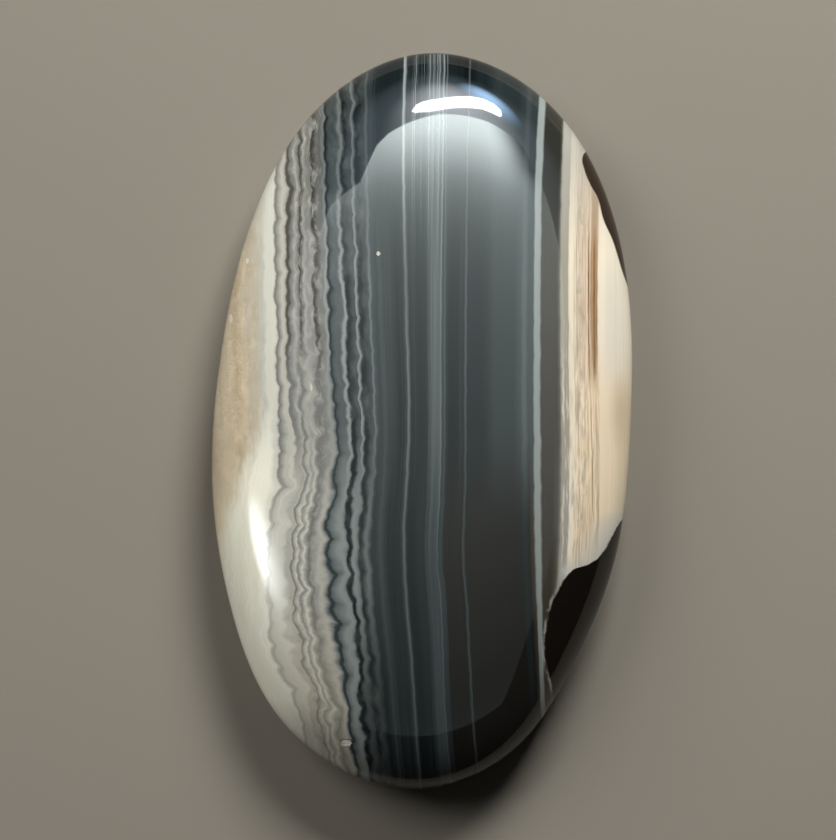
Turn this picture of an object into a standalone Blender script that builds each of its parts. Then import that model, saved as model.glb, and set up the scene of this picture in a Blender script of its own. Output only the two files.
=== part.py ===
"""A polished free-form cabochon of sulemani agate, lying on its flat back.

One piece of stone: an oval dome with a rounded edge, cut from a block whose bands run along its length.
The origin is the middle of the flat back. The length runs along Y and the dome rises along +Z.
"""

import bmesh
import bpy
import numpy as np

# Driving dimensions, in metres.
LENGTH = 0.042
WIDTH = 0.024
THICKNESS = 0.0074
EDGE_HEIGHT = 0.0023  # height of the widest line above the back
UNDERCUT = 0.0013  # how far the back is drawn in from the widest line

# The hand-cut outline seen from above, in millimetres, clockwise from the top. It leans a little: the left
# side is widest low down and the right side is widest high up.
OUTLINE_MM = (
    (0.2, 21.0), (5.0, 19.8), (8.6, 16.55), (10.8, 12.1), (11.9, 6.2), (11.9, -0.6),
    (11.0, -8.0), (8.6, -14.0), (5.0, -19.0), (0.4, -21.0), (-4.5, -20.0), (-8.3, -16.8),
    (-10.9, -10.8), (-12.0, -3.6), (-11.4, 4.5), (-9.3, 12.6), (-5.0, 18.75),
)

# Fineness of the mesh.
POINTS_ROUND = 84
DOME_RINGS = 24
EDGE_RINGS = 6
CURVE_STEPS = 60  # steps between two outline points before the curve is spaced evenly

POLISHED_AGATE = (0.055, 0.055, 0.052, 1.0)


def clear_scene():
    for item in list(bpy.data.objects):
        bpy.data.objects.remove(item, do_unlink=True)


def curve_bends(points, spans):
    """Second derivatives of the smooth closed curve at its points."""
    count = len(points)
    system = np.zeros((count, count))
    slopes = np.zeros((count, 2))
    for here in range(count):
        after = (here + 1) % count
        before = here - 1
        system[here, before] = spans[before]
        system[here, here] = 2 * (spans[before] + spans[here])
        system[here, after] = spans[here]
        leaving = (points[after] - points[here]) / spans[here]
        arriving = (points[here] - points[before]) / spans[before]
        slopes[here] = 6 * (leaving - arriving)
    return np.linalg.solve(system, slopes)


def smooth_closed_curve(points):
    """A closed curve through the points, with no step in its slope or its curvature."""
    spans = np.linalg.norm(np.roll(points, -1, axis=0) - points, axis=1)
    bends = curve_bends(points, spans)
    curve = []
    for here, span in enumerate(spans):
        after = (here + 1) % len(points)
        for step in range(CURVE_STEPS):
            done = span * step / CURVE_STEPS
            left = span - done
            bent = (bends[here] * left**3 + bends[after] * done**3) / (6 * span)
            straight = (points[here] / span - bends[here] * span / 6) * left
            straight += (points[after] / span - bends[after] * span / 6) * done
            curve.append(bent + straight)
    return np.array(curve)


def spaced_evenly(curve, count):
    """The same closed curve with this many points, equally far apart."""
    closed = np.vstack([curve, curve[:1]])
    travelled = np.concatenate([[0], np.cumsum(np.linalg.norm(np.diff(closed, axis=0), axis=1))])
    wanted = np.arange(count) * travelled[-1] / count
    return np.column_stack([np.interp(wanted, travelled, closed[:, axis]) for axis in (0, 1)])


def edge_outline():
    """The widest line, in metres, made exactly as long and as wide as the stone and centred on the origin."""
    outline = spaced_evenly(smooth_closed_curve(np.array(OUTLINE_MM)), POINTS_ROUND)
    low, high = outline.min(axis=0), outline.max(axis=0)
    return (outline - (low + high) / 2) / (high - low) * (WIDTH, LENGTH)


def level_line(outline, share):
    """The dome's level line at this share of the width. Level lines turn into plain ovals towards the top."""
    angle = np.arctan2(outline[:, 1] / LENGTH, outline[:, 0] / WIDTH)
    oval = np.column_stack([np.cos(angle) * WIDTH / 2, np.sin(angle) * LENGTH / 2])
    keep = share**2
    return share * (keep * outline + (1 - keep) * oval)


def drawn_in(outline, distance):
    """The outline moved inwards by this distance, square to its own direction."""
    along = np.roll(outline, -1, axis=0) - np.roll(outline, 1, axis=0)
    along /= np.linalg.norm(along, axis=1)[:, None]
    # The outline runs clockwise, so inwards is to the right of it.
    inwards = np.column_stack([along[:, 1], -along[:, 0]])
    return outline + inwards * distance


def rings_from_back_to_top(outline):
    """Lists of (x, y) points with their height: the rounded edge, then the dome up to just below its top."""
    rings = []
    for turn in np.linspace(np.pi / 2, 0, EDGE_RINGS, endpoint=False):
        inset = UNDERCUT * (1 - np.cos(turn))
        height = EDGE_HEIGHT * (1 - np.sin(turn))
        rings.append((drawn_in(outline, inset), height))
    dome_height = THICKNESS - EDGE_HEIGHT
    for turn in np.linspace(0, np.pi / 2, DOME_RINGS, endpoint=False):
        height = EDGE_HEIGHT + dome_height * np.sin(turn)
        rings.append((level_line(outline, np.cos(turn)), height))
    return rings


def polished_agate():
    finish = bpy.data.materials.new("polished_agate")
    finish.use_nodes = True
    surface = finish.node_tree.nodes["Principled BSDF"]
    surface.inputs["Base Color"].default_value = POLISHED_AGATE
    surface.inputs["Roughness"].default_value = 0.06
    surface.inputs["Metallic"].default_value = 0.0
    surface.inputs["IOR"].default_value = 1.54
    return finish


def stone():
    body = bmesh.new()
    rows = []
    for points, height in rings_from_back_to_top(edge_outline()):
        rows.append([body.verts.new((x, y, height)) for x, y in points])
    # The outline runs clockwise seen from above, so each face lists its corners to point outwards.
    for lower, upper in zip(rows, rows[1:]):
        for here in range(POINTS_ROUND):
            after = (here + 1) % POINTS_ROUND
            body.faces.new((lower[after], lower[here], upper[here], upper[after]))
    top = body.verts.new((0, 0, THICKNESS))
    middle_of_back = body.verts.new((0, 0, 0))
    for here in range(POINTS_ROUND):
        after = (here + 1) % POINTS_ROUND
        body.faces.new((rows[-1][after], rows[-1][here], top))
        body.faces.new((rows[0][here], rows[0][after], middle_of_back))
    mesh = bpy.data.meshes.new("stone")
    body.to_mesh(mesh)
    body.free()
    mesh.shade_smooth()
    mesh.materials.append(polished_agate())
    piece = bpy.data.objects.new("stone", mesh)
    bpy.context.scene.collection.objects.link(piece)
    return piece


clear_scene()
stone()
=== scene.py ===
"""A polished sulemani agate cabochon on warm grey paper, seen from straight above."""

import math

import bpy
import numpy as np
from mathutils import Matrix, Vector


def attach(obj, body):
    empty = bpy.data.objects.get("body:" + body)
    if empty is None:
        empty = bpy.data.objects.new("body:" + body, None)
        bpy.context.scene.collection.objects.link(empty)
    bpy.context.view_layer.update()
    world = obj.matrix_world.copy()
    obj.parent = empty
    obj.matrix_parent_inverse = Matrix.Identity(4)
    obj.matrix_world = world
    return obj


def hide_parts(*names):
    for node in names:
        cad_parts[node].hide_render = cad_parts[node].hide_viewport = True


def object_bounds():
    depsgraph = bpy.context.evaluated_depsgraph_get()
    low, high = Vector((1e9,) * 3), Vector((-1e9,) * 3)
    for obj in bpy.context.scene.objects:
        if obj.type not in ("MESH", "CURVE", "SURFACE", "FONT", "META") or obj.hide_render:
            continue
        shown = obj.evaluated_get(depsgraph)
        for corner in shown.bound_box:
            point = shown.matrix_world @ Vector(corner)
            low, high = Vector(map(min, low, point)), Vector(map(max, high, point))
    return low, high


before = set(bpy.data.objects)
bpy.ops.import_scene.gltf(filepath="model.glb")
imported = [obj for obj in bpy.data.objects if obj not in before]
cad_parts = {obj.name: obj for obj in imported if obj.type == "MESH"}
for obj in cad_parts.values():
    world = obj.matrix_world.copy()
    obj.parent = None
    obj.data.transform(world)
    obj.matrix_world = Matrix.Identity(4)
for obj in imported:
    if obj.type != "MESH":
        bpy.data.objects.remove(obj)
cad_low, cad_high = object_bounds()

# The stone's shape.
# One block of banded agate, ground by hand to a free-form oval with a domed top, a rounded edge and a flat
# back, then lapped and polished. The widest line is swept up over the dome and down under the edge.

MM = 0.001
WIDTH = cad_high.x - cad_low.x
LENGTH = cad_high.y - cad_low.y
THICKNESS = cad_high.z - cad_low.z
EDGE_HEIGHT = 2.3 * MM
UNDERCUT = 1.3 * MM
OUTLINE_MM = (
    (0.2, 21.0), (5.0, 19.8), (8.6, 16.55), (10.8, 12.1), (11.9, 6.2), (11.9, -0.6),
    (11.0, -8.0), (8.6, -14.0), (5.0, -19.0), (0.4, -21.0), (-4.5, -20.0), (-8.3, -16.8),
    (-10.9, -10.8), (-12.0, -3.6), (-11.4, 4.5), (-9.3, 12.6), (-5.0, 18.75),
)
CURVE_STEPS = 60
POINTS_ROUND = 520
RINGS = 178
DOME_SHARE = 0.86  # share of the rings that lie on the dome
EDGE_SHARE = 0.07  # share on the rounded edge
BACK_FROM = DOME_SHARE + EDGE_SHARE  # the rest close the back
QUARTER_TURN = math.pi / 2
MERGE_DISTANCE = 0.001 * MM
HAND_WAVE = 0.006 * MM  # how far the lapping wanders from a perfect dome
HAND_WAVE_LENGTH = 6 * MM
HAND_WAVE_DETAIL = 1.0


def smooth_closed_curve(points):
    """A closed curve through the points, with no step in its slope or its curvature."""
    spans = np.linalg.norm(np.roll(points, -1, axis=0) - points, axis=1)
    count = len(points)
    system = np.zeros((count, count))
    slopes = np.zeros((count, 2))
    for here in range(count):
        after = (here + 1) % count
        before = here - 1
        system[here, before] = spans[before]
        system[here, here] = 2 * (spans[before] + spans[here])
        system[here, after] = spans[here]
        leaving = (points[after] - points[here]) / spans[here]
        arriving = (points[here] - points[before]) / spans[before]
        slopes[here] = 6 * (leaving - arriving)
    bends = np.linalg.solve(system, slopes)
    curve = []
    for here, span in enumerate(spans):
        after = (here + 1) % count
        for step in range(CURVE_STEPS):
            done = span * step / CURVE_STEPS
            left = span - done
            bent = (bends[here] * left**3 + bends[after] * done**3) / (6 * span)
            straight = (points[here] / span - bends[here] * span / 6) * left
            straight += (points[after] / span - bends[after] * span / 6) * done
            curve.append(bent + straight)
    return np.array(curve)


def widest_line():
    """The outline as a closed loop of edges, exactly as long and as wide as the stone."""
    curve = smooth_closed_curve(np.array(OUTLINE_MM))
    low, high = curve.min(axis=0), curve.max(axis=0)
    curve = (curve - (low + high) / 2) / (high - low) * (WIDTH, LENGTH)
    corners = [(x, y, 0) for x, y in curve]
    edges = [(here, (here + 1) % len(corners)) for here in range(len(corners))]
    mesh = bpy.data.meshes.new("widest_line")
    mesh.from_pydata(corners, edges, [])
    return mesh


def add(tree, kind, inputs=None, stops=(), points=(), **settings):
    """Adds a node with its settings and links.

    A node given as an input is linked from its first output in use. Stops fill a colour ramp, and points a
    curve.
    """
    made = tree.nodes.new(kind)
    for name, value in settings.items():
        setattr(made, name, value)
    for socket, value in (inputs or {}).items():
        if isinstance(value, bpy.types.Node):
            value = next(output for output in value.outputs if output.enabled)
        if isinstance(value, bpy.types.NodeSocket):
            tree.links.new(value, made.inputs[socket])
        else:
            made.inputs[socket].default_value = value
    if stops:
        elements = made.color_ramp.elements
        while len(elements) < len(stops):
            elements.new(1.0)
        for element, (place, colour) in zip(elements, stops):
            element.position = place
            element.color = colour
    if points:
        corners = made.mapping.curves[0].points
        while len(corners) < len(points):
            corners.new(1.0, 1.0)
        for corner, place in zip(corners, points):
            corner.location = place
        made.mapping.update()
    return made


def sweep_tree():
    """Sweeps the outline over the dome, round the edge and across the back, as one closed skin."""
    tree = bpy.data.node_groups.new("cabochon_sweep", "GeometryNodeTree")
    tree.interface.new_socket("Outline", in_out="INPUT", socket_type="NodeSocketGeometry")
    for name, value in {
        "Width": WIDTH, "Length": LENGTH, "Thickness": THICKNESS,
        "Edge height": EDGE_HEIGHT, "Undercut": UNDERCUT, "Hand wave": HAND_WAVE,
    }.items():
        socket = tree.interface.new_socket(name, in_out="INPUT", socket_type="NodeSocketFloat")
        socket.default_value = value
    for name, value in {"Points round": POINTS_ROUND, "Rings": RINGS}.items():
        socket = tree.interface.new_socket(name, in_out="INPUT", socket_type="NodeSocketInt")
        socket.default_value = value
    tree.interface.new_socket("Finish", in_out="INPUT", socket_type="NodeSocketMaterial")
    tree.interface.new_socket("Stone", in_out="OUTPUT", socket_type="NodeSocketGeometry")
    given = add(tree, "NodeGroupInput").outputs

    # A grid: one side of it runs round the outline, the other from the top to the middle of the back.
    seam = add(tree, "ShaderNodeMath", {0: given["Points round"], 1: 1}, operation="ADD")
    grid = add(tree, "GeometryNodeMeshGrid", {"Vertices X": seam, "Vertices Y": given["Rings"]}).outputs
    round_share, down_share, _ = add(tree, "ShaderNodeSeparateXYZ", {0: grid["UV Map"]}).outputs
    line = add(tree, "GeometryNodeMeshToCurve", {"Mesh": given["Outline"]})
    rim = add(tree, "GeometryNodeSampleCurve", {
        "Curves": line, "Factor": round_share}, mode="FACTOR").outputs
    rim_x, rim_y, _ = add(tree, "ShaderNodeSeparateXYZ", {0: rim["Position"]}).outputs
    inwards = add(tree, "ShaderNodeVectorMath", {0: rim["Tangent"], 1: (0, 0, 1)}, operation="CROSS_PRODUCT")

    # The plain oval that the level lines turn into towards the top.
    share_x = add(tree, "ShaderNodeMath", {0: rim_x, 1: given["Width"]}, operation="DIVIDE")
    share_y = add(tree, "ShaderNodeMath", {0: rim_y, 1: given["Length"]}, operation="DIVIDE")
    angle = add(tree, "ShaderNodeMath", {0: share_y, 1: share_x}, operation="ARCTAN2")
    circle = add(tree, "ShaderNodeCombineXYZ", {
        "X": add(tree, "ShaderNodeMath", {0: angle}, operation="COSINE"),
        "Y": add(tree, "ShaderNodeMath", {0: angle}, operation="SINE")})
    widths = add(tree, "ShaderNodeCombineXYZ", {"X": given["Width"], "Y": given["Length"]})
    oval = add(tree, "ShaderNodeVectorMath", {0: circle, 1: widths}, operation="MULTIPLY")
    oval = add(tree, "ShaderNodeVectorMath", {0: oval, "Scale": 0.5}, operation="SCALE")

    # How far each ring has turned over the dome, under the edge, and in across the back.
    dome_turn = add(tree, "ShaderNodeMapRange", {
        "Value": down_share, "From Max": DOME_SHARE, "To Min": QUARTER_TURN, "To Max": 0.0})
    edge_turn = add(tree, "ShaderNodeMapRange", {
        "Value": down_share, "From Min": DOME_SHARE, "From Max": BACK_FROM, "To Max": QUARTER_TURN})
    back_share = add(tree, "ShaderNodeMapRange", {
        "Value": down_share, "From Min": BACK_FROM, "To Min": 1.0, "To Max": 0.0})
    dome_cosine = add(tree, "ShaderNodeMath", {0: dome_turn}, operation="COSINE")
    dome_sine = add(tree, "ShaderNodeMath", {0: dome_turn}, operation="SINE")
    keep = add(tree, "ShaderNodeMath", {0: dome_cosine, 1: dome_cosine}, operation="MULTIPLY")
    level = add(tree, "ShaderNodeMix", {0: keep, 4: oval, 5: rim["Position"]}, data_type="VECTOR")
    level = add(tree, "ShaderNodeVectorMath", {0: level, "Scale": dome_cosine}, operation="SCALE")
    edge_versine = add(tree, "ShaderNodeMath", {
        0: 1.0, 1: add(tree, "ShaderNodeMath", {0: edge_turn}, operation="COSINE")}, operation="SUBTRACT")
    inset = add(tree, "ShaderNodeMath", {0: given["Undercut"], 1: edge_versine}, operation="MULTIPLY")
    inset = add(tree, "ShaderNodeVectorMath", {0: inwards, "Scale": inset}, operation="SCALE")
    flat_place = add(tree, "ShaderNodeVectorMath", {0: level, 1: inset}, operation="ADD")
    flat_place = add(tree, "ShaderNodeVectorMath", {0: flat_place, "Scale": back_share}, operation="SCALE")
    dome_height = add(tree, "ShaderNodeMath", {
        0: given["Thickness"], 1: given["Edge height"]}, operation="SUBTRACT")
    edge_drop = add(tree, "ShaderNodeMath", {
        0: given["Edge height"], 1: add(tree, "ShaderNodeMath", {0: edge_turn}, operation="SINE")},
        operation="MULTIPLY")
    edge_height = add(tree, "ShaderNodeMath", {0: given["Edge height"], 1: edge_drop}, operation="SUBTRACT")

    # Hand lapping leaves long, shallow waves on the dome, which bend the reflections a little.
    wave = add(tree, "ShaderNodeTexNoise", {
        "Vector": flat_place, "Scale": 1 / HAND_WAVE_LENGTH, "Detail": HAND_WAVE_DETAIL})
    sunk = add(tree, "ShaderNodeMath", {0: wave, 1: given["Hand wave"]}, operation="MULTIPLY")
    dome_height = add(tree, "ShaderNodeMath", {0: dome_height, 1: sunk}, operation="SUBTRACT")
    height = add(tree, "ShaderNodeMath", {
        0: dome_height, 1: dome_sine, 2: edge_height}, operation="MULTIPLY_ADD")
    raised = add(tree, "ShaderNodeCombineXYZ", {"Z": height})
    position = add(tree, "ShaderNodeVectorMath", {0: flat_place, 1: raised}, operation="ADD")

    skin = add(tree, "GeometryNodeSetPosition", {"Geometry": grid["Mesh"], "Position": position})
    closed = add(tree, "GeometryNodeMergeByDistance", {"Geometry": skin, "Distance": MERGE_DISTANCE})
    smooth = add(tree, "GeometryNodeSetShadeSmooth", {"Geometry": closed})
    real = add(tree, "GeometryNodeRealizeInstances", {"Geometry": smooth})
    finished = add(tree, "GeometryNodeSetMaterial", {"Geometry": real, "Material": given["Finish"]})
    add(tree, "NodeGroupOutput", {"Stone": finished})
    return tree


# The stone's bands.
# Chalcedony, laid down layer on layer inside a cavity: tan and ivory first, then scalloped grey, then smoky
# black with straight white lines, then cream with threads of iron brown. They run along the stone and
# straight down through it. Places across them are in millimetres from the middle, +X towards the cream.

TONES = {
    "jet": "#0b1012", "ink": "#141c1f", "smoke": "#1d2527", "slate": "#2b3437", "dusk": "#3b4448",
    "steel": "#4c5559", "lead": "#5f686b", "pewter": "#747d7f", "silver": "#858f91",
    "umber": "#1d1c1a", "bark": "#3d3a34", "peat": "#524f4a", "taupe": "#6f7272", "drab": "#848786",
    "ash": "#9d9f9d", "pearl": "#b5b6b0", "chalk": "#cdd0ca", "milk": "#f4f6ea", "snow": "#f6f8f2",
    "bone": "#c1b9a9", "tan": "#d0c3aa", "stained tan": "#bfb095", "ochre": "#a08c69",
    "old ivory": "#ece2c6", "sage": "#99968b", "pale cream": "#dad3c4", "cream": "#eae2d3",
    "warm cream": "#ecddc6", "butter": "#e0d2b9", "beige": "#ccbfaf", "peach": "#dac9b4", "sand": "#a99072",
    "iron brown": "#5f3d1e", "bluish white": "#c5cbc9", "chip": "#e6e2d8", "brown black": "#130f0c",
    "lens brown": "#1e130b",
}

# Each run of bands is a list of places and the tones there; between two places the tones blend.
TAN_AND_IVORY = (
    (-12.2, "stained tan"), (-11.6, "tan"), (-10.7, "tan"), (-10.4, "stained tan"), (-10.1, "tan"),
    (-9.8, "bone"), (-9.3, "bone"), (-9.0, "pearl"), (-8.8, "pearl"), (-8.6, "chalk"), (-8.26, "chalk"),
    (-8.18, "pearl"), (-8.1, "taupe"), (-8.02, "drab"), (-7.9, "ash"), (-7.78, "pearl"),
    (-7.66, "pearl"),
)
IVORY_END = (
    (-12.2, "tan"), (-11.6, "tan"), (-11.0, "old ivory"), (-10.4, "milk"), (-9.6, "milk"),
    (-9.0, "snow"), (-8.5, "snow"), (-8.25, "milk"), (-8.12, "chalk"), (-7.98, "pearl"),
    (-7.86, "chalk"), (-7.66, "chalk"),
)
BROWN_LINED = (
    (-7.66, "pearl"), (-7.56, "ash"), (-7.49, "peat"), (-7.38, "peat"), (-7.3, "taupe"),
    (-7.16, "drab"), (-7.0, "ash"), (-6.86, "drab"), (-6.78, "taupe"), (-6.74, "bark"), (-6.69, "peat"),
    (-6.6, "taupe"), (-6.48, "ash"), (-6.3, "drab"), (-6.05, "drab"), (-5.99, "peat"), (-5.92, "bark"),
    (-5.84, "peat"), (-5.7, "taupe"), (-5.44, "taupe"), (-5.38, "silver"), (-5.3, "silver"),
    (-5.25, "pewter"), (-5.19, "slate"), (-5.12, "smoke"),
)
GREY_LINED = (
    (-7.66, "pearl"), (-7.56, "pearl"), (-7.48, "taupe"), (-7.36, "taupe"), (-7.22, "drab"),
    (-7.06, "ash"), (-6.94, "drab"), (-6.86, "taupe"), (-6.78, "drab"), (-6.66, "ash"), (-6.3, "ash"),
    (-6.18, "drab"), (-6.08, "taupe"), (-5.8, "taupe"), (-5.55, "drab"), (-5.4, "silver"),
    (-5.3, "pewter"), (-5.22, "lead"), (-5.16, "slate"), (-5.12, "slate"),
)
PALE_LINED = (
    (-7.66, "chalk"), (-7.34, "chalk"), (-7.2, "pearl"), (-6.98, "pearl"), (-6.89, "taupe"),
    (-6.81, "ash"), (-6.62, "chalk"), (-6.48, "drab"), (-6.42, "ash"), (-6.28, "chalk"), (-6.16, "ash"),
    (-6.02, "taupe"), (-5.86, "drab"), (-5.72, "ash"), (-5.54, "pearl"), (-5.42, "ash"),
    (-5.31, "pewter"), (-5.23, "dusk"), (-5.12, "slate"),
)
SCALLOPED = (
    (-5.12, "smoke"), (-5.04, "dusk"), (-4.85, "steel"), (-4.6, "steel"), (-4.53, "lead"),
    (-4.47, "silver"), (-4.39, "silver"), (-4.33, "lead"), (-4.27, "smoke"), (-4.21, "jet"),
    (-4.1, "ink"), (-3.98, "slate"), (-3.82, "dusk"), (-3.72, "dusk"), (-3.67, "silver"),
    (-3.6, "pewter"), (-3.54, "steel"), (-3.48, "ink"), (-3.41, "jet"), (-3.3, "ink"), (-3.16, "slate"),
    (-2.98, "dusk"), (-2.91, "lead"), (-2.85, "lead"), (-2.78, "dusk"), (-2.5, "slate"),
)
PALE_SCALLOPED = (
    (-5.12, "slate"), (-5.08, "steel"), (-5.0, "lead"), (-4.85, "pewter"), (-4.66, "silver"),
    (-4.48, "silver"), (-4.36, "pewter"), (-4.28, "slate"), (-4.22, "ink"), (-4.06, "ink"),
    (-3.99, "dusk"), (-3.92, "pewter"), (-3.82, "silver"), (-3.64, "pewter"), (-3.56, "lead"),
    (-3.48, "slate"), (-3.36, "smoke"), (-3.24, "dusk"), (-3.1, "lead"), (-2.96, "lead"),
    (-2.88, "steel"), (-2.76, "slate"), (-2.5, "slate"),
)
SMOKY_BLACK = (
    (-2.5, "slate"), (-2.27, "dusk"), (-2.05, "slate"), (-1.8, "slate"), (-1.55, "smoke"),
    (-1.35, "ink"), (-1.12, "smoke"), (-0.97, "slate"), (-0.91, "lead"), (-0.86, "lead"),
    (-0.79, "dusk"), (-0.7, "ink"), (-0.45, "smoke"), (-0.22, "ink"), (0.0, "ink"), (0.25, "smoke"),
    (0.38, "dusk"), (0.6, "steel"), (1.0, "steel"), (1.05, "lead"), (1.1, "dusk"), (1.2, "slate"),
    (1.28, "dusk"), (1.36, "smoke"), (1.5, "jet"), (2.0, "jet"), (2.15, "smoke"), (2.36, "ink"),
    (2.43, "dusk"), (2.49, "dusk"), (2.55, "ink"), (3.0, "ink"),
)
FINE_LINED_BLACK = (
    (-2.5, "smoke"), (-2.43, "slate"), (-2.34, "ink"), (-1.12, "ink"), (-0.98, "smoke"),
    (-0.92, "pewter"), (-0.85, "pewter"), (-0.78, "smoke"), (-0.56, "ink"), (-0.49, "slate"),
    (-0.42, "ink"), (0.15, "ink"), (0.3, "slate"), (0.36, "steel"), (0.42, "slate"), (0.52, "slate"),
    (0.58, "steel"), (0.64, "slate"), (0.77, "slate"), (0.84, "lead"), (0.9, "slate"), (1.01, "slate"),
    (1.07, "lead"), (1.12, "ink"), (1.18, "ink"), (1.24, "dusk"), (1.3, "ink"), (2.39, "jet"),
    (2.46, "dusk"), (2.53, "jet"), (3.0, "ink"),
)
BROWNISH_BLACK = (
    (-2.5, "slate"), (-2.27, "dusk"), (-2.05, "slate"), (-1.8, "smoke"), (-1.12, "smoke"),
    (-0.98, "slate"), (-0.9, "steel"), (-0.84, "steel"), (-0.77, "slate"), (-0.68, "ink"),
    (-0.3, "ink"), (0.0, "smoke"), (0.25, "smoke"), (0.38, "slate"), (0.6, "dusk"), (0.96, "dusk"),
    (1.03, "steel"), (1.09, "slate"), (1.28, "slate"), (1.38, "umber"), (2.37, "umber"), (2.43, "dusk"),
    (2.49, "dusk"), (2.55, "umber"), (3.0, "umber"),
)
WHITE_STRIPED = (
    (3.0, "ink"), (3.4, "ink"), (3.7, "smoke"), (4.1, "slate"), (5.2, "slate"), (5.6, "dusk"),
    (5.72, "steel"), (5.88, "steel"), (6.0, "dusk"), (6.3, "dusk"), (6.34, "lead"), (6.39, "silver"),
    (6.66, "silver"), (6.71, "lead"), (6.76, "bark"), (7.6, "bark"), (7.72, "peat"), (7.78, "taupe"),
    (7.84, "sage"), (8.22, "sage"), (8.28, "pale cream"), (8.5, "pale cream"),
)
WHITE_STRIPED_END = (
    (3.0, "umber"), (5.6, "umber"), (5.72, "smoke"), (5.9, "smoke"), (6.02, "umber"), (6.28, "bark"),
    (6.33, "taupe"), (6.38, "silver"), (6.62, "silver"), (6.68, "taupe"), (6.76, "bark"), (7.3, "bark"),
    (7.6, "peat"), (7.72, "taupe"), (7.8, "sage"), (7.94, "ash"), (8.2, "ash"), (8.28, "cream"),
    (8.5, "cream"),
)
CREAM_AND_BROWN = (
    (8.5, "pale cream"), (8.66, "pale cream"), (8.72, "beige"), (9.2, "beige"), (9.27, "peach"),
    (9.5, "peach"), (9.58, "sand"), (9.88, "sand"), (9.97, "cream"), (12.2, "cream"),
)
PLAIN_CREAM = (
    (8.5, "cream"), (8.68, "warm cream"), (8.78, "warm cream"), (9.15, "warm cream"),
    (9.3, "warm cream"), (10.6, "warm cream"), (11.3, "butter"), (12.2, "butter"),
)

# Where along the stone a look begins to show, and where it has taken over. Some come in gently.
COMING_IN = {
    "near end": (0.6, -6.4, "SMOOTHSTEP"),
    "near ivory": (-1.5, -8.0, "SMOOTHSTEP"),
    "lower greys": (4.6, 2.0, "LINEAR"),
    "far end": (7.5, 14.0, "LINEAR"),
    "lower cream": (4.0, 1.0, "LINEAR"),
}

# The runs in their order across the stone, each with the looks that come in over it.
ACROSS_THE_STONE = (
    (TAN_AND_IVORY, ((IVORY_END, "near ivory"),)),
    (BROWN_LINED, ((GREY_LINED, "lower greys"), (PALE_LINED, "near end"))),
    (SCALLOPED, ((PALE_SCALLOPED, "near end"),)),
    (SMOKY_BLACK, ((FINE_LINED_BLACK, "far end"), (BROWNISH_BLACK, "near end"))),
    (WHITE_STRIPED, ((WHITE_STRIPED_END, "near end"),)),
    (CREAM_AND_BROWN, ((PLAIN_CREAM, "lower cream"),)),
)

# Tones that grow stronger towards an end: between which places along the stone, how far, and in which
# layers. Layers are four places across the bands, where a tone starts, is full, starts to fade and is gone.
TOWARDS_THE_ENDS = (
    ("ink", (8.0, 14.0), 0.58, (-8.2, -5.0, -2.7, -2.1)),
    ("ink", (8.0, 14.0), 0.58, (3.4, 4.4, 6.28, 6.34)),
    ("ink", (8.0, 14.0), 0.58, (6.72, 6.78, 7.6, 7.75)),
    ("ink", (-9.0, -15.0), 0.75, (-4.1, -3.95, -2.6, -2.0)),
    ("old ivory", (-9.0, -15.0), 0.165, (-8.2, -7.6, -5.7, -5.4)),
)
GRAIN_ROUGHNESS = 0.6


def linear(colour):
    """An sRGB hex colour as linear red, green, blue and alpha, by the numbers of the sRGB standard."""
    parts = [int(colour[at:at + 2], 16) / 255 for at in (1, 3, 5)]
    light = [part / 12.92 if part <= 0.04045 else ((part + 0.055) / 1.055) ** 2.4 for part in parts]
    return (*light, 1.0)


def bands(tree, place, run):
    """The colours of one run of bands, from its first place to its last."""
    low, high = run[0][0], run[-1][0]
    share = add(tree, "ShaderNodeMapRange", {"Value": place, "From Min": low, "From Max": high})
    stops = [((at - low) / (high - low), linear(TONES[tone])) for at, tone in run]
    return add(tree, "ShaderNodeValToRGB", {"Fac": share}, stops=stops)


def laid_over(tree, colour, tone, *shares):
    """The colour with a tone, or another colour, over it, as strongly as the shares multiplied together."""
    share = shares[0]
    for other in shares[1:]:
        share = add(tree, "ShaderNodeMath", {0: share, 1: other}, operation="MULTIPLY")
    over = linear(TONES[tone]) if isinstance(tone, str) else tone
    return add(tree, "ShaderNodeMix", {0: share, 6: colour, 7: over}, data_type="RGBA")


def between(tree, value, start, full, gone, end):
    """Rises from 0 at start to 1 at full, stays, and falls from gone to 0 at end."""
    rise = add(tree, "ShaderNodeMapRange", {"Value": value, "From Min": start, "From Max": full})
    fall = add(tree, "ShaderNodeMapRange", {
        "Value": value, "From Min": gone, "From Max": end, "To Min": 1.0, "To Max": 0.0})
    return add(tree, "ShaderNodeMath", {0: rise, 1: fall}, operation="MULTIPLY")


def grain(tree, across, along, size, low=0.0, high=1.0, detail=2.0):
    """Natural grain in patches of this size in millimetres: 0 where it is under low, and 1 over high."""
    flat = add(tree, "ShaderNodeCombineXYZ", {"X": across, "Y": along})
    stretched = add(tree, "ShaderNodeVectorMath", {0: flat, 1: (*size, 1.0)}, operation="DIVIDE")
    noise = add(tree, "ShaderNodeTexNoise", {
        "Vector": stretched, "Scale": 1.0, "Detail": detail, "Roughness": GRAIN_ROUGHNESS},
        noise_dimensions="2D")
    return add(tree, "ShaderNodeMapRange", {"Value": noise, "From Min": low, "From Max": high})


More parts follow.
